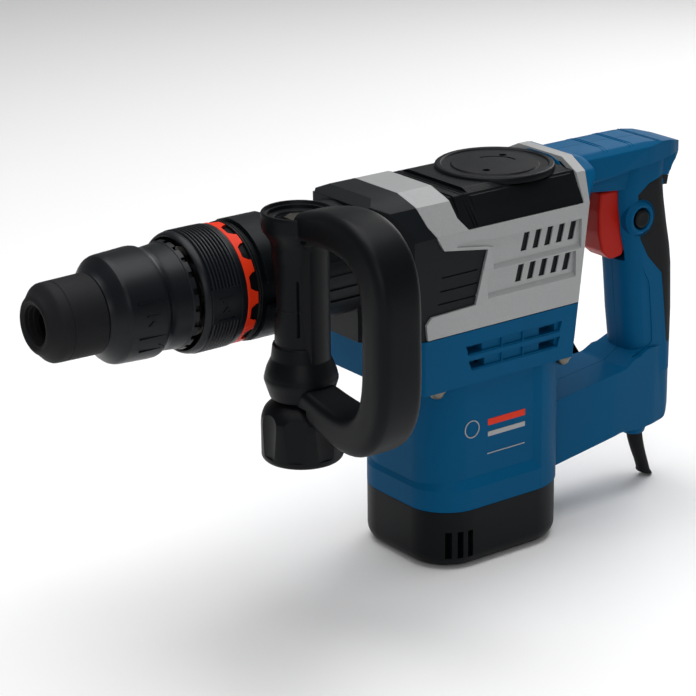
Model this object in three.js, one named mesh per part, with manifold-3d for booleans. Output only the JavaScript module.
// Electric jackhammer (SDS-max demolition hammer), built as an assembly of its separate pieces.
// Millimetres. The hammer axis is the X axis: -X is the nose, +X the rear handle, +Z is up and
// -Y is the tool's left side. The origin is the centre of the beat piece's striking face.

import * as THREE from 'three';
import { mergeVertices } from 'three/addons/utils/BufferGeometryUtils.js';
import Module from 'manifold-3d';

const wasm = await Module();
wasm.setup();

// ---- Driving dimensions -------------------------------------------------------------------

const GAP = 0.3;                  // clearance between touching pieces

const NOSE_X = -93;               // front of the dust cap
const CAP_END_X = -59;            // dust cap meets the locking sleeve
const SLEEVE_END_X = -7.7;        // toothed rear rim of the locking sleeve
const SLEEVE_RADIUS = 31.2;
const RING_START_X = -6;          // adjusting ring
const RING_END_X = 18.7;
const RING_RADIUS = 35;
const TEETH_END_X = 29.3;         // red index teeth
const INDEX_TEETH = 12;           // twelve chisel positions
const NECK_START_X = 33.3;
const NECK_RADIUS = 31.5;
const NECK_REAR_X = 104;          // neck meets the gear housing's box
const BORE_RADIUS = 9.2;          // SDS-max shank, 18 mm
const HOLDER_RADIUS = 18;

const BODY_HALF_WIDTH = 45;
const BODY_TOP_Z = 36.5;
const SHOULDER_Z = 30;
const SIDE_TOP_Z = 14;            // where the side walls start to lean inwards
const HOUSING_FLOOR_Z = -46.7;    // parting plane between gear housing and motor housing
const FLANGE_BOTTOM_Z = -80;
const SEAM_Z = -160;              // motor housing meets its end cap
const BASE_Z = -197;
const WALL = 3;

const CRANK_X = 216;
const CRANK_RADIUS = 14;
const GEAR_MODULE = 1.25;
const PINION_TEETH = 7;
const GEAR_TEETH = 45;
const MOTOR_X = CRANK_X - GEAR_MODULE * (PINION_TEETH + GEAR_TEETH) / 2;
const ROD_LENGTH = 64;
const WRIST_X = CRANK_X - CRANK_RADIUS - ROD_LENGTH;
const TUBE_BORE = 16.5;
const MOTOR_CAVITY = 37;
const CAP_CENTRE_X = 221.5;        // round grease cap

const COLUMN_X = 43.7;            // side handle's clamping bolt
const COLUMN_Y = -50;
const LOOP_Y = -132.5;            // centre of the side grip
const LUG_RADIUS = 9;             // clamp band's lugs round the bolt
const LUG_HALF_WIDTH = 4.5;
const SWING_OPENING = 80;         // degrees each way that the column is open for the lugs

const BUTTON_X = 324;
const BUTTON_Z = -15;
const GRIP_HALF_WIDTH = 17;

const FINE = 28;                  // sides of the large round pieces
const MEDIUM = 18;
const COARSE = 10;                // sides of screws, pins and bearings

// ---- Materials ----------------------------------------------------------------------------

const finish = (color, roughness, metalness) =>
  new THREE.MeshStandardMaterial({ color, roughness, metalness });

const blackPlastic = finish(0x1d1f22, 0.5, 0);
const blackCasting = finish(0x1a1c1f, 0.42, 0.1);
const chuckPlastic = finish(0x2b2e32, 0.45, 0);
const rubber = finish(0x151719, 0.75, 0);
const bluePlastic = finish(0x11568f, 0.42, 0);
const silverPaint = finish(0xb8b9ba, 0.4, 0.25);
const redPlastic = finish(0xe0421f, 0.45, 0);
const triggerRed = finish(0xc92a1b, 0.4, 0);
const hardSteel = finish(0x8d9093, 0.3, 1);
const zincSteel = finish(0xa6a8a6, 0.35, 1);
const laminations = finish(0x5e6063, 0.5, 0.9);
const copper = finish(0xb06a3b, 0.35, 1);
const carbon = finish(0x26272a, 0.8, 0);
const nylon = finish(0xc9c4b4, 0.5, 0);

// ---- Solids -------------------------------------------------------------------------------

function toSolid(geometry) {
  geometry.deleteAttribute('normal');
  geometry.deleteAttribute('uv');
  const merged = mergeVertices(geometry, 1e-4);
  const position = merged.attributes.position;
  const triangles = Uint32Array.from(merged.index.array);
  const corner = [new THREE.Vector3(), new THREE.Vector3(), new THREE.Vector3()];
  let volume = 0;
  for (let i = 0; i < triangles.length; i += 3) {
    corner.forEach((point, k) => point.fromBufferAttribute(position, triangles[i + k]));
    volume += corner[0].dot(corner[1].clone().cross(corner[2]));
  }
  if (volume < 0) {
    triangles.reverse();
  }
  const mesh = new wasm.Mesh({
    numProp: 3,
    vertProperties: Float32Array.from(position.array),
    triVerts: triangles,
  });
  return new wasm.Manifold(mesh);
}

function toGeometry(solid) {
  const mesh = solid.getMesh();
  const geometry = new THREE.BufferGeometry();
  geometry.setAttribute('position', new THREE.BufferAttribute(mesh.vertProperties, 3));
  geometry.setIndex(new THREE.BufferAttribute(mesh.triVerts, 1));
  geometry.computeVertexNormals();
  return geometry;
}

const AXES = {
  x: new THREE.Matrix4().makeRotationZ(-Math.PI / 2),
  y: new THREE.Matrix4(),
  z: new THREE.Matrix4().makeRotationX(Math.PI / 2),
};

// A piece turned about a line along `axis` through `centre`; the profile holds
// [distance along the axis, radius] pairs and is closed along the axis or on itself.
function turned(axis, profile, sides, centre = [0, 0, 0]) {
  const points = profile.map(([along, radius]) => new THREE.Vector2(radius, along));
  const onAxis = points[0].x === 0 && points[points.length - 1].x === 0;
  if (THREE.ShapeUtils.area(points) < 0) {
    points.reverse();
  }
  if (!onAxis) {
    points.push(points[0].clone());
  }
  const geometry = new THREE.LatheGeometry(points, sides);
  geometry.applyMatrix4(AXES[axis]);
  geometry.translate(...centre);
  return toSolid(geometry);
}

const rod = (axis, from, to, radius, sides, centre) =>
  turned(axis, [[from, 0], [from, radius], [to, radius], [to, 0]], sides, centre);

const ring = (axis, from, to, inner, outer, sides, centre) =>
  turned(axis, [[from, inner], [from, outer], [to, outer], [to, inner]], sides, centre);

const FRAMES = {
  x: new THREE.Matrix4().makeBasis(
    new THREE.Vector3(0, 1, 0), new THREE.Vector3(0, 0, 1), new THREE.Vector3(1, 0, 0)),
  y: new THREE.Matrix4().makeBasis(
    new THREE.Vector3(-1, 0, 0), new THREE.Vector3(0, 0, 1), new THREE.Vector3(0, 1, 0)),
  z: new THREE.Matrix4(),
};

// An outline extruded along `axis`. Outlines are (y, z) along X, (x, z) along Y, (x, y) along Z.
function prism(axis, outline, from, to, bevel = 0) {
  const flip = axis === 'y' ? -1 : 1;
  const shape = new THREE.Shape(outline.map(([a, b]) => new THREE.Vector2(flip * a, b)));
  const geometry = new THREE.ExtrudeGeometry(shape, {
    depth: to - from - 2 * bevel,
    bevelEnabled: bevel > 0,
    bevelThickness: bevel,
    bevelSize: bevel,
    bevelOffset: -bevel,
    bevelSegments: 1,
    curveSegments: 6,
  });
  geometry.translate(0, 0, from + bevel);
  geometry.applyMatrix4(FRAMES[axis]);
  return toSolid(geometry);
}

function block(x0, x1, y0, y1, z0, z1) {
  const geometry = new THREE.BoxGeometry(x1 - x0, y1 - y0, z1 - z0);
  geometry.translate((x0 + x1) / 2, (y0 + y1) / 2, (z0 + z1) / 2);
  return toSolid(geometry);
}

const union = (first, ...rest) => rest.reduce((sum, solid) => sum.add(solid), first);
const cut = (first, ...rest) => rest.reduce((left, solid) => left.subtract(solid), first);

// An outline moved outwards by `distance` (inwards when negative), with mitred corners.
function grow(outline, distance) {
  const points = outline.map(([a, b]) => new THREE.Vector2(a, b));
  if (THREE.ShapeUtils.area(points) < 0) {
    points.reverse();
  }
  return points.map((point, i) => {
    const before = points[(i + points.length - 1) % points.length];
    const after = points[(i + 1) % points.length];
    const inEdge = point.clone().sub(before).normalize();
    const outEdge = after.clone().sub(point).normalize();
    const inNormal = new THREE.Vector2(inEdge.y, -inEdge.x);
    const outNormal = new THREE.Vector2(outEdge.y, -outEdge.x);
    const miter = inNormal.clone().add(outNormal);
    const reach = distance / (1 + inNormal.dot(outNormal));
    return [point.x + miter.x * reach, point.y + miter.y * reach];
  });
}

const mirrored = (half) => [...half, ...half.map(([a, b]) => [-a, b]).reverse()];

// Rounded rectangle from corner points, each corner an arc of the given radius.
function rounded(x0, x1, halfWidth, frontRadius, rearRadius, steps = 5) {
  const outline = [];
  const corner = (cx, cy, radius, start) => {
    for (let i = 0; i <= steps; i += 1) {
      const angle = start + (Math.PI / 2) * (i / steps);
      outline.push([cx + radius * Math.cos(angle), cy + radius * Math.sin(angle)]);
    }
  };
  corner(x1 - rearRadius, halfWidth - rearRadius, rearRadius, 0);
  corner(x0 + frontRadius, halfWidth - frontRadius, frontRadius, Math.PI / 2);
  corner(x0 + frontRadius, frontRadius - halfWidth, frontRadius, Math.PI);
  corner(x1 - rearRadius, rearRadius - halfWidth, rearRadius, 1.5 * Math.PI);
  return outline;
}

function gearOutline(teeth, centre, toothAngle) {
  const pitch = GEAR_MODULE * teeth / 2;
  const outline = [];
  const rows = [[-0.3, pitch - 1.5], [-0.13, pitch + 0.9], [0.13, pitch + 0.9], [0.3, pitch - 1.5]];
  for (let i = 0; i < teeth; i += 1) {
    for (const [share, radius] of rows) {
      const angle = toothAngle + (2 * Math.PI / teeth) * (i + share);
      outline.push([centre + radius * Math.cos(angle), radius * Math.sin(angle)]);
    }
  }
  return outline;
}

function sweep(section, curve, steps) {
  const shape = new THREE.Shape(section.map(([a, b]) => new THREE.Vector2(a, b)));
  return toSolid(new THREE.ExtrudeGeometry(shape, { steps, extrudePath: curve, bevelEnabled: false }));
}

function oval(halfWidth, halfHeight, sides) {
  return Array.from({ length: sides }, (_, i) => {
    const angle = 2 * Math.PI * (i + 0.5) / sides;
    return [halfWidth * Math.cos(angle), halfHeight * Math.sin(angle)];
  });
}

const jackhammer = new THREE.Group();

function piece(name, solid, material) {
  const mesh = new THREE.Mesh(toGeometry(solid), material);
  mesh.name = name;
  jackhammer.add(mesh);
}

// ---- Tool holder and chuck ----------------------------------------------------------------

const ROLLER_RADIUS = 3.2;
const ROLLER_Y = 10.9;            // rollers stand 1.5 mm into the bore when locked
const ROLLER_FROM = -40;
const ROLLER_TO = -25;

piece('dust_cap', turned('x', [
  [NOSE_X, 10.2], [NOSE_X, 13.6], [-89.5, 17.3], [-86.3, 21.3], [-84.5, 21.9],
  [CAP_END_X - GAP, 22.4], [CAP_END_X - GAP, 15.6], [-83.8, 15.6], [-83.8, 10.2],
], FINE), rubber);

const rollerSlots = [-1, 1].map((side) =>
  block(ROLLER_FROM - 0.5, ROLLER_TO + 0.5, side < 0 ? -20 : 5, side < 0 ? -5 : 20,
    -ROLLER_RADIUS - 0.4, ROLLER_RADIUS + 0.4));

piece('tool_holder', cut(turned('x', [
  [-83.5, BORE_RADIUS], [-83.5, 14.2], [-82.5, 15.2], [-57, 15.2], [-57, HOLDER_RADIUS],
  [26, HOLDER_RADIUS], [26, 21.5], [58, 21.5], [58, 14.4], [8, 14.4], [8, BORE_RADIUS],
], MEDIUM), ...rollerSlots), hardSteel);

piece('locking_roller_left', rod('x', ROLLER_FROM, ROLLER_TO, ROLLER_RADIUS, COARSE,
  [0, -ROLLER_Y, 0]), hardSteel);
piece('locking_roller_right', rod('x', ROLLER_FROM, ROLLER_TO, ROLLER_RADIUS, COARSE,
  [0, ROLLER_Y, 0]), hardSteel);

piece('locking_sleeve', turned('x', [
  [CAP_END_X, 18.4], [CAP_END_X, 22], [-56.5, 23.6], [-52, 28.6], [-48.6, 30.2],
  [-30, SLEEVE_RADIUS], [-26.8, SLEEVE_RADIUS], [-20, 28.9], [-12, 29.6],
  [SLEEVE_END_X, 30.6], [SLEEVE_END_X, 24.5], [-22, 24.5], [-22, 18.4],
], FINE), chuckPlastic);

class SpringLine extends THREE.Curve {
  constructor(start, pitch, turns, radius) {
    super();
    Object.assign(this, { start, pitch, turns, radius });
  }

  getPoint(t) {
    const angle = 2 * Math.PI * this.turns * t;
    return new THREE.Vector3(this.start + this.pitch * this.turns * t,
      this.radius * Math.cos(angle), this.radius * Math.sin(angle));
  }
}

const sleeveSpringLine = new SpringLine(-12.3, 4.4, 3, 21.4);
piece('sleeve_spring', sweep(oval(1, 1, 4), sleeveSpringLine, 33), zincSteel);
piece('spring_seat', ring('x', 2.5, 4, HOLDER_RADIUS + GAP, 25, MEDIUM), zincSteel);

piece('adjusting_ring', turned('x', [
  [RING_START_X, 31.7], [RING_START_X, 32.6], [-3.6, 34.2], [RING_END_X, RING_RADIUS],
  [RING_END_X, HOLDER_RADIUS + 0.5], [9.5, HOLDER_RADIUS + 0.5], [9.5, 31.7],
], FINE), chuckPlastic);

const toothWidth = 2 * RING_RADIUS * Math.tan(Math.PI / INDEX_TEETH) * 0.62;
const toothOutline = [[24, -toothWidth / 2], [TEETH_END_X, -toothWidth / 3.4],
  [TEETH_END_X, toothWidth / 3.4], [24, toothWidth / 2]];
const toothShell = ring('x', 22, TEETH_END_X, 32.8, 35.2, FINE);
const indexTeeth = Array.from({ length: INDEX_TEETH }, (_, i) => {
  const wedge = prism('z', toothOutline, 30, 40);
  const turn = wedge.rotate([360 * i / INDEX_TEETH, 0, 0]);
  return turn.intersect(toothShell);
});
piece('index_teeth_ring', union(ring('x', RING_END_X + GAP, 24.3, 32.8, 35.2, FINE),
  ...indexTeeth), redPlastic);

piece('index_ring', turned('x', [
  [RING_END_X + GAP, 26], [RING_END_X + GAP, 32.4], [29.9, 32.4], [29.9, 34.2], [32, 34.2],
  [NECK_START_X - GAP, 33], [NECK_START_X - GAP, 26],
], FINE), blackPlastic);

piece('holder_bushing', ring('x', 34, 57, 22.1, 24.5, MEDIUM), copper);

// ---- Hammer mechanism ---------------------------------------------------------------------

piece('beat_piece', turned('x', [
  [0, 0], [0, 8], [1, 8.8], [14, 8.8], [14, 13.9], [34, 13.9], [34, 9.6], [51, 9.6],
  [52, 8.6], [52, 0],
], MEDIUM), hardSteel);
piece('beat_piece_bushing', ring('x', 36, 57, 10, 14.1, MEDIUM), nylon);

piece('hammer_tube', ring('x', 62.5, 166, TUBE_BORE, 20, MEDIUM), hardSteel);
piece('striker', turned('x', [
  [62, 0], [62, 8], [71, 8.6], [71, 16.1], [99, 16.1], [99, 13.4], [103, 13.4], [103, 16.1],
  [112, 16.1], [112, 0],
], MEDIUM), hardSteel);
piece('striker_seal', ring('x', 99.4, 102.6, 13.7, 16.2, MEDIUM), rubber);

const wristHole = rod('z', -20, 20, 4.3, COARSE, [WRIST_X, 0, 0]);
piece('piston', cut(rod('x', WRIST_X - 17, WRIST_X + 15, 16.1, MEDIUM),
  block(WRIST_X - 9.5, WRIST_X + 16, -11.5, 11.5, -6.6, 6.6), wristHole), hardSteel);
piece('wrist_pin', rod('z', -13, 13, 4, COARSE, [WRIST_X, 0, 0]), zincSteel);

const bigEyeX = WRIST_X + ROD_LENGTH;
piece('connecting_rod', cut(union(
  rod('z', -6, 6, 8.6, COARSE, [WRIST_X, 0, 0]),
  block(WRIST_X + 2, bigEyeX - 2, -4.6, 4.6, -4, 4),
  rod('z', -6, 6, 9, COARSE, [bigEyeX, 0, 0])),
rod('z', -7, 7, 4.3, COARSE, [WRIST_X, 0, 0]),
rod('z', -7, 7, 4.6, COARSE, [bigEyeX, 0, 0])), hardSteel);

// The crank pin stops just below the rod's eye: this is the pivot that is left open.
piece('crankshaft', union(
  rod('z', -43, -14, 7, MEDIUM, [CRANK_X, 0, 0]),
  rod('z', -14.5, -8.2, 18.8, MEDIUM, [CRANK_X, 0, 0]),
  rod('z', -9, -6.6, 4.2, COARSE, [CRANK_X - CRANK_RADIUS, 0, 0])), hardSteel);
piece('crank_gear', cut(prism('z', gearOutline(GEAR_TEETH, CRANK_X, Math.PI * (1 - 1 / GEAR_TEETH)),
  -33, -24), rod('z', -34, -23, 7.3, MEDIUM, [CRANK_X, 0, 0])), hardSteel);
piece('crank_bearing', ring('z', -43, -36, 7.3, 15.5, MEDIUM, [CRANK_X, 0, 0]), zincSteel);

// ---- Motor --------------------------------------------------------------------------------

const onMotor = [MOTOR_X, 0, 0];
piece('armature_shaft', union(
  prism('z', gearOutline(PINION_TEETH, MOTOR_X, 0), -34, -22.5),
  rod('z', -180, -33.9, 4, COARSE, onMotor)), hardSteel);
piece('armature_core', ring('z', -132, -82, 4.3, 22.6, MEDIUM, onMotor), laminations);
piece('commutator', ring('z', -152, -138, 4.3, 13, MEDIUM, onMotor), copper);
const blades = Array.from({ length: 9 }, (_, i) =>
  block(9, 34, -0.9, 0.9, -74, -65).rotate([0, 0, 40 * i]).translate(MOTOR_X, 0, 0));
piece('cooling_fan', union(ring('z', -66, -63, 4.3, 34.5, MEDIUM, onMotor),
  ring('z', -74, -65.9, 4.3, 10, MEDIUM, onMotor), ...blades), blackPlastic);
piece('stator', ring('z', -136, -80, 23.2, MOTOR_CAVITY - 0.6, MEDIUM, onMotor), laminations);
piece('upper_bearing', ring('z', -58.5, -50.5, 4.3, 11, MEDIUM, onMotor), zincSteel);
piece('lower_bearing', ring('z', -179, -171, 4.3, 11, MEDIUM, onMotor), zincSteel);
for (const [name, side] of [['brush_left', -1], ['brush_right', 1]]) {
  const inner = side * 13.3;
  const outer = side * 29;
  piece(name, block(MOTOR_X - 3.2, MOTOR_X + 3.2, Math.min(inner, outer), Math.max(inner, outer),
    -150, -140), carbon);
}

// ---- Gear housing, cover and shroud -------------------------------------------------------

const bodySection = mirrored([
  [-20, BODY_TOP_Z], [-34, SHOULDER_Z], [-BODY_HALF_WIDTH, SIDE_TOP_Z],
  [-BODY_HALF_WIDTH, FLANGE_BOTTOM_Z],
]);
// Seen from above, the housing's front leans back towards the sides.
const bodyPlan = [
  [NECK_REAR_X, -21], [129, -BODY_HALF_WIDTH], [280, -BODY_HALF_WIDTH],
  [280, BODY_HALF_WIDTH], [129, BODY_HALF_WIDTH], [NECK_REAR_X, 21],
];
// Rear face of the castings, seen from the side: it leans back upwards.
const REAR_LINE = [[266, BODY_TOP_Z + 6], [263, 31], [257, SIDE_TOP_Z], [246.5, -72.5]];
const bodySide = [
  [NECK_REAR_X - 4, HOUSING_FLOOR_Z - 1], [NECK_REAR_X - 4, 30], [113, BODY_TOP_Z + 6],
  ...REAR_LINE,
];
const SHROUD_OUTLINE = [
  [136, HOUSING_FLOOR_Z], [135, -37], [139, -33], [171, -32], [180, 0], [148, 5], [139, 20],
  [136, 31], [131, BODY_TOP_Z + 5], [156, BODY_TOP_Z + 5], [160, 31], [161, 21],
  [166, SIDE_TOP_Z], [253, SIDE_TOP_Z], [256, 31], [257, BODY_TOP_Z + 5],
  [265.5, BODY_TOP_Z + 5], [263, 31], [257, SIDE_TOP_Z], [249.6, HOUSING_FLOOR_Z],
];

function bodySkin(inset) {
  return prism('x', grow(bodySection, -inset), 90, 280)
    .intersect(prism('z', grow(bodyPlan, -inset), -100, 60));
}

const casting = bodySkin(0).intersect(prism('y', bodySide, -60, 60));
const coverSpace = prism('y', [
  [156.2, SIDE_TOP_Z], [156.2, 60], [258, 60], [256.5, 31], [253.2, SIDE_TOP_Z],
], -60, 60);
const ventSlot = (x, z) => prism('y', [[x, z], [x + 2.6, z + 11], [x + 7, z + 11], [x + 4.4, z]],
  -60, 60);
const vents = [];
for (let i = 0; i < 5; i += 1) {
  vents.push(ventSlot(206 + 9 * i, -7));
  vents.push(ventSlot(202 + 9 * i, -25));
}
piece('shroud', cut(casting.intersect(prism('y', SHROUD_OUTLINE, -60, 60)),
  bodySkin(WALL), block(130, 280, -60, 60, -100, HOUSING_FLOOR_Z + GAP), ...vents), silverPaint);

const flangeScrewSpots = [[147, -39], [147, 39], [242.3, -39.5], [242.3, 39.5]];
const screwHoles = flangeScrewSpots.map(([x, y]) =>
  rod('z', FLANGE_BOTTOM_Z - 1, -41, 2.5, COARSE, [x, y, 0]));
const COVER_SCREW_Y = 24;
const COVER_SCREW_Z = -8;
const coverScrewHoles = [-1, 1].map((side) =>
  rod('x', 247, 270, 2.5, COARSE, [0, side * COVER_SCREW_Y, COVER_SCREW_Z]));
const exposedSkin = cut(casting, prism('y', grow(SHROUD_OUTLINE, GAP), -60, 60));
const coredSkin = casting.intersect(bodySkin(WALL + GAP));
const neck = union(rod('x', NECK_START_X, 60, NECK_RADIUS, FINE), rod('x', 58, 112, 33, FINE));
piece('gear_housing', cut(union(exposedSkin, coredSkin, neck),
  coverSpace,
  rod('x', 30, 60, 24.9, MEDIUM),
  rod('x', 58, 176, 20.4, MEDIUM),
  block(172, 246.5, -34, 34, -35, 40),
  rod('z', -43.4, -30, 15.8, MEDIUM, [CRANK_X, 0, 0]),
  rod('z', -60, -30, 7, MEDIUM, onMotor),
  ...screwHoles, ...coverScrewHoles,
  block(100, 280, -60, 60, -100, HOUSING_FLOOR_Z)), blackCasting);

const coverSection = mirrored([[-31.5, 31.3], [-44.2, SIDE_TOP_Z + GAP]]);
piece('gear_cover', cut(prism('x', coverSection, 150, 270)
  .intersect(prism('y', [[166.6, SIDE_TOP_Z + GAP], [161.8, 21], [160.6, 31.4], [255.6, 31.4],
    [252.6, SIDE_TOP_Z + GAP]], -60, 60)),
block(150, 270, -33, 33, 0, 23.5),
rod('z', 0, 60, 28.6, FINE, [CAP_CENTRE_X, 0, 0])), blackPlastic);
piece('grease_cap', turned('z', [
  [24, 0], [24, 28.2], [31.6, 28.2], [31.6, 34.2], [32.6, 34.2], [34.5, 31.6], [34.5, 0],
], FINE, [CAP_CENTRE_X, 0, 0]), blackPlastic);

// ---- Motor housing ------------------------------------------------------------------------

const barrelOutline = rounded(144, 250, 44, 27, 30);
const flangeOutline = [
  [126, -37], [134, -BODY_HALF_WIDTH], [250, -BODY_HALF_WIDTH], [250, BODY_HALF_WIDTH],
  [134, BODY_HALF_WIDTH], [126, 37],
];
const flangeSide = [[120, FLANGE_BOTTOM_Z], [120, -40], [249.4, HOUSING_FLOOR_Z],
  [245.4, FLANGE_BOTTOM_Z]];
const airSlots = [];
for (const [x, length, z] of [[163, 10, -59], [192, 9, -59], [218, 12, -59],
  [165, 9, -69], [190, 10, -69], [215, 12, -69]]) {
  airSlots.push(block(x, x + length, -60, 60, z - 4.5, z));
}
piece('motor_housing', cut(union(
  prism('z', flangeOutline, FLANGE_BOTTOM_Z, HOUSING_FLOOR_Z - GAP)
    .intersect(prism('y', flangeSide, -60, 60)),
  prism('z', barrelOutline, SEAM_Z, FLANGE_BOTTOM_Z + 1)),
rod('z', -170, -60, MOTOR_CAVITY, FINE, onMotor),
rod('z', -61, -50, 11.3, MEDIUM, onMotor),
rod('z', -55, -40, 6, MEDIUM, onMotor),
block(225, 240, -30, 30, -170, -60),
...screwHoles, ...airSlots), bluePlastic);

const capBody = prism('z', barrelOutline, BASE_Z, SEAM_Z - GAP)
  .intersect(prism('y', [[143, SEAM_Z], [144.5, -190], [150, BASE_Z], [243, BASE_Z],
    [249.5, -190], [251, SEAM_Z]], -60, 60))
  .intersect(prism('x', mirrored([[-45, SEAM_Z], [-43.5, -190], [-38, BASE_Z]]), 140, 260));
const capSlits = [];
for (const x of [171, 180, 189, 198]) {
  for (const side of [-1, 1]) {
    capSlits.push(block(x, x + 4, side > 0 ? 32 : -50, side > 0 ? 50 : -32, -188, -172));
  }
}
piece('motor_end_cap', cut(capBody,
  rod('z', -188, SEAM_Z + 1, MOTOR_CAVITY - 2, FINE, onMotor),
  ...capSlits).add(ring('z', -189, -168, 11.3, 15, MEDIUM, onMotor)), blackPlastic);

flangeScrewSpots.forEach(([x, y], i) => {
  const head = cut(turned('z', [[-86, 0], [-86, 3.6], [FLANGE_BOTTOM_Z - GAP, 3.6],
    [FLANGE_BOTTOM_Z - GAP, 2.1], [-43, 2.1], [-43, 0]], COARSE, [x, y, 0]),
  prism('z', oval(1.9, 1.9, 6).map(([a, b]) => [x + a, y + b]), -87, -83));
  piece(`flange_screw_${i + 1}`, head, zincSteel);
});

// ---- Rear handle --------------------------------------------------------------------------

// Side view of the handle: rear cover, top beam, grip and lower arm, open towards the body.
const frameOutline = [
  [264.8, 35], [300, 34.5], [340, 32], [356, 28.5], [362.5, 22], [363.5, 13], [360, 4],
  [356, -4], [357.5, -25], [360.5, -50], [361.5, -80], [360.5, -112], [360, -134], [357, -146],
  [350, -153], [326, -154], [308, -151.5], [250.3, -160], [250.3, -119], [300, -111],
  [314, -110], [323, -102], [319, -76], [316.5, -46], [315, 5], [258, 9],
];
const beamWidth = [[245, 22.5], [300, 21.5], [322, GRIP_HALF_WIDTH + 1.5],
  [345, GRIP_HALF_WIDTH], [366, 14]];
const widthPlan = [...beamWidth, ...beamWidth.map(([x, y]) => [x, -y]).reverse()];
const gripBody = prism('y', frameOutline, -22.5, 22.5, 5)
  .intersect(prism('z', widthPlan, -200, 60));
const roundGrip = prism('y', frameOutline, -GRIP_HALF_WIDTH, GRIP_HALF_WIDTH, 6);
const gripZone = block(300, 380, -60, 60, -104, 2);
const handleFrame = union(cut(gripBody, gripZone), roundGrip.intersect(gripZone));

const rearCoverSide = [
  ...REAR_LINE.slice(1).map(([x, z]) => [x + GAP, z]), [245.9, FLANGE_BOTTOM_Z + 1.3],
  [253, FLANGE_BOTTOM_Z + 1.3], [254.5, -72.5], [265, SIDE_TOP_Z], [270, 31], [271, 34],
  [264.5, 35.5],
];
const rearCover = prism('x', bodySection, 240, 280)
  .add(block(240, 280, -BODY_HALF_WIDTH, BODY_HALF_WIDTH, FLANGE_BOTTOM_Z, HOUSING_FLOOR_Z + 1))
  .intersect(prism('y', rearCoverSide, -60, 60))
  .intersect(prism('z', rounded(200, 273, BODY_HALF_WIDTH, 1, 9, 3), -90, 50));
const buttonBoss = turned('y', [[-20.5, 0], [-20.5, 9.2], [-19.5, 10.2], [-14, 10.6], [-14, 0]],
  MEDIUM, [BUTTON_X, 0, BUTTON_Z]);

const rubberOutline = [
  [330, 0], [327, -30], [335, -46], [344, -58], [346, -80], [350, -101], [370, -101], [370, 0],
];
const gripCore = (inset) => prism('y', grow(frameOutline, -inset),
  -GRIP_HALF_WIDTH + inset + 1.5, GRIP_HALF_WIDTH - inset - 1.5);
const bossSpace = rod('y', -30, 0, 11, MEDIUM, [BUTTON_X, 0, BUTTON_Z]);
piece('rubber_grip', cut(handleFrame.intersect(prism('y', rubberOutline, -60, 60)),
  gripCore(WALL), bossSpace), rubber);

const rubberSpace = prism('y', grow(rubberOutline, GAP), -60, 60)
  .subtract(gripCore(WALL + GAP)).subtract(rod('y', -30, 0, 10.8, MEDIUM,
    [BUTTON_X, 0, BUTTON_Z]));
const gripHollow = block(300, 350, -10.5, 10.5, -41.5, 6)
  .add(block(325, 352, -10.5, 10.5, -62, 6));
const cableWay = rod('z', -160, -60, 6, COARSE, [338, 0, 0]);
const buttonHole = rod('y', -25, -5, 5.6, MEDIUM, [BUTTON_X, 0, BUTTON_Z]);
const clamshellSpots = [[285, 22], [345, 17], [275, -137], [345, -138]];
const clamshellHoles = clamshellSpots.map(([x, z]) => turned('y', [
  [-9, 0], [-9, 1.8], [11, 1.8], [11, 3.9], [30, 3.9], [30, 0]], COARSE, [x, 0, z]));
const handleShell = cut(union(handleFrame, rearCover), rubberSpace, gripHollow, cableWay,
  ...coverScrewHoles, ...clamshellHoles);
const leftSide = block(230, 380, -60, -GAP / 2, -220, 60);
const rightSide = block(230, 380, GAP / 2, 60, -220, 60);
piece('handle_left', cut(handleShell.intersect(leftSide).add(
  cut(buttonBoss, gripCore(WALL + GAP))), buttonHole), bluePlastic);
piece('handle_right', handleShell.intersect(rightSide), bluePlastic);

piece('switch_module', block(330, 350, -10, 10, -58, 4), blackPlastic);
piece('trigger', prism('y', [
  [291, 0], [288, -12], [287.5, -24], [292, -33], [303, -39.5], [312, -38], [318, -30],
  [320, -8], [320, 4.5], [298, 4.5],
], -9.5, 9.5, 2.5), triggerRed);
piece('lock_button', turned('y', [[-22, 0], [-22, 4.2], [-21, 5.2], [-13.2, 5.2], [-13.2, 0]],
  MEDIUM, [BUTTON_X, 0, BUTTON_Z]), blackPlastic);

piece('cable_gland', turned('z', [[-162, 4.9], [-162, 6.6], [-154.4, 7], [-154.4, 4.9]],
  MEDIUM, [338, 0, 0]), blackPlastic);
const reliefCurve = new THREE.CatmullRomCurve3([
  new THREE.Vector3(338, 0, -150), new THREE.Vector3(338.6, 0, -160),
  new THREE.Vector3(342, 0, -176), new THREE.Vector3(348, 0, -191),
]);
piece('strain_relief', sweep(oval(3.5, 3.5, 12), reliefCurve, 8), rubber);

[-1, 1].forEach((side, i) => {
  piece(`cover_screw_${i + 1}`, turned('x', [
    [249, 0], [249, 2.1], [263.5, 2.1], [263.5, 4.6], [266, 4.6], [267.2, 3.4], [267.2, 0],
  ], COARSE, [0, side * COVER_SCREW_Y, COVER_SCREW_Z]), zincSteel);
});
clamshellSpots.forEach(([x, z], i) => {
  piece(`handle_screw_${i + 1}`, turned('y', [
    [-8, 0], [-8, 1.5], [11.3, 1.5], [11.3, 3.5], [14, 3.5], [14, 0],
  ], COARSE, [x, 0, z]), zincSteel);
});

// ---- Side handle --------------------------------------------------------------------------

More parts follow.
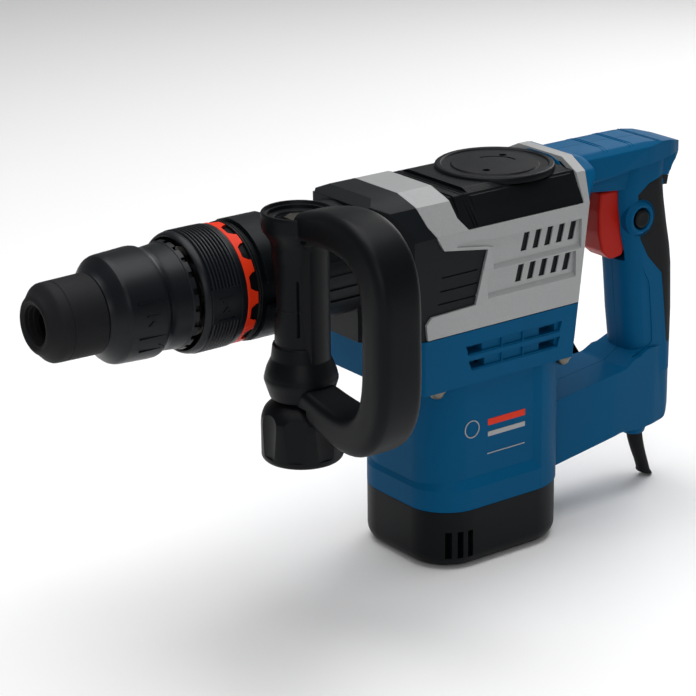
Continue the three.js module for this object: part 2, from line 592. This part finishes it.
const onColumn = [COLUMN_X, COLUMN_Y, 0];
const BAND_FROM = COLUMN_X - 9.5;
const BAND_TO = COLUMN_X + 11.3;
const bandLugs = [-9.5, 6.5].map((low) => union(
  rod('z', low, low + 3, LUG_RADIUS, MEDIUM, onColumn),
  block(COLUMN_X - LUG_HALF_WIDTH, COLUMN_X + LUG_HALF_WIDTH, COLUMN_Y, -30, low, low + 3)));
piece('clamp_band', cut(union(ring('x', BAND_FROM, BAND_TO, NECK_RADIUS + 0.5, 35, FINE),
  ...bandLugs), rod('x', 20, 70, NECK_RADIUS + 0.5, FINE),
rod('z', -20, 20, 4.4, COARSE, onColumn),
block(BAND_FROM - 1, BAND_TO + 1, -40, -20, -6.4, 6.4)), zincSteel);

piece('clamp_bolt', union(
  prism('z', oval(7.5, 7.5, 6).map(([a, b]) => [COLUMN_X + a, COLUMN_Y + b]), 41.5, 46.5),
  rod('z', -84, 42, 4, COARSE, onColumn)), zincSteel);

const loopLine = new THREE.CatmullRomCurve3([
  [-52, 43], [-76, 47.5], [-98, 50.5], [-118, 49], [-129.5, 38], [LOOP_Y, 20], [LOOP_Y, -22],
  [-129.5, -44], [-118, -57.5], [-98, -61.5], [-76, -56.5], [-52, -50.5],
].map(([y, z]) => new THREE.Vector3(COLUMN_X, y, z)), false, 'centripetal');
const column = turned('z', [
  [-56, 0], [-56, 17], [-43.6, 20.5], [-38, 20], [-24, 15.5], [-20, 14], [36, 14], [38.5, 18],
  [41, 20], [50, 20], [50, 0],
], FINE, onColumn);
const loopSolid = sweep(oval(14.5, 11.5, 12), loopLine, 20);
const swingReach = 30;
const swingAngle = SWING_OPENING * Math.PI / 180;
const swingSpace = union(
  rod('z', -10, 10, LUG_RADIUS + 0.4, MEDIUM, onColumn),
  prism('z', [
    [COLUMN_X, COLUMN_Y],
    [COLUMN_X + swingReach * Math.sin(swingAngle), COLUMN_Y + swingReach * Math.cos(swingAngle)],
    [COLUMN_X + swingReach, COLUMN_Y + swingReach],
    [COLUMN_X - swingReach, COLUMN_Y + swingReach],
    [COLUMN_X - swingReach * Math.sin(swingAngle), COLUMN_Y + swingReach * Math.cos(swingAngle)],
  ], -10, 10));
const insertZone = prism('x', [[LOOP_Y + 4.5, 34], [-112, 28], [-112, -34], [LOOP_Y + 4.5, -40]],
  COLUMN_X - 10, COLUMN_X + 10);
const insertSpace = prism('x', grow([[LOOP_Y + 4.5, 34], [-112, 28], [-112, -34],
  [LOOP_Y + 4.5, -40]], GAP), COLUMN_X - 10 - GAP, COLUMN_X + 10 + GAP);
piece('side_handle', cut(union(column, cut(loopSolid,
  rod('z', -100, 100, 10, MEDIUM, onColumn))),
insertSpace,
rod('z', -60, 60, 4.4, COARSE, onColumn),
rod('z', 41.2, 60, 16, MEDIUM, onColumn),
rod('z', -100, -56.2, 24.2, FINE, onColumn),
rod('x', 20, 70, 35.4, FINE),
swingSpace), blackPlastic);
piece('side_grip_insert', loopSolid.intersect(insertZone), rubber);

const lobes = Array.from({ length: 24 }, (_, i) => {
  const radius = i % 4 < 2 ? 23 : 21.4;
  const angle = 2 * Math.PI * (i + 0.5) / 24;
  return [COLUMN_X + radius * Math.cos(angle), COLUMN_Y + radius * Math.sin(angle)];
});
piece('clamp_knob', cut(prism('z', lobes, -92, -56.5).intersect(turned('z', [
  [-92, 0], [-92, 21.5], [-90, 23], [-68, 23], [-58, 15], [-56.5, 14], [-56.5, 0]],
FINE, onColumn)), rod('z', -86, -50, 4.3, COARSE, onColumn)), blackPlastic);

export default jackhammer;
